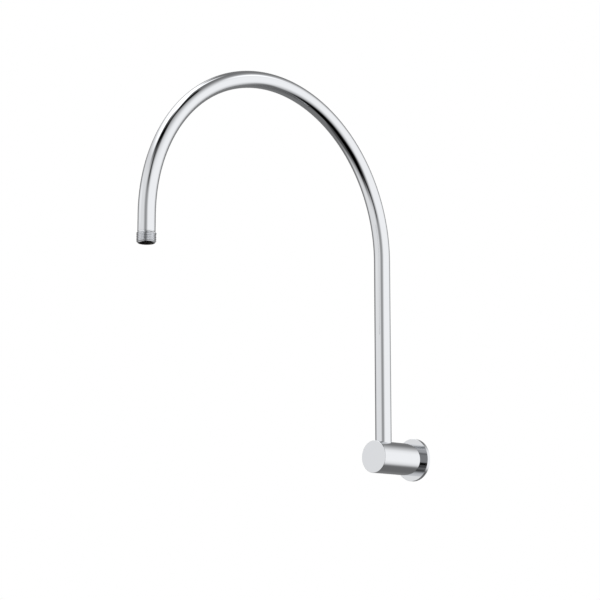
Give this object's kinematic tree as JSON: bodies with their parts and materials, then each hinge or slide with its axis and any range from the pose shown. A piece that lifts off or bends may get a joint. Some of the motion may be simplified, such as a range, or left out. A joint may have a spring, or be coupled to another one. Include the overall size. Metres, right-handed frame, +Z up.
{
  "type": "shower arm",
  "caption": "Wall-mounted gooseneck shower arm: a round wall flange and turned body carry a bent tube that ends in a male threaded outlet pointing down.",
  "frame": {"origin": "on the wall plane, at the centre of the flange's back face and on the axis of the inlet thread", "axes": "+Y into the wall along the inlet thread, so the arm stands out towards -Y; +Z up; +X square to the plane of the bend"},
  "size_m": [0.05, 0.442, 0.448],
  "materials": {
    "chrome": "polished chrome plate on brass",
    "brass": "bare turned brass",
    "steel": "stainless set screw",
    "rubber": "black nitrile"
  },
  "bodies": {
    "root": {"gooseneck_tube": "chrome", "outlet_nipple": "chrome", "wall_body": "chrome", "wall_flange": "chrome", "wall_connector": "brass", "grub_screw": "steel", "flange_o_ring": "rubber", "connector_o_ring_front": "rubber", "connector_o_ring_rear": "rubber"}
  },
  "joints": []
}
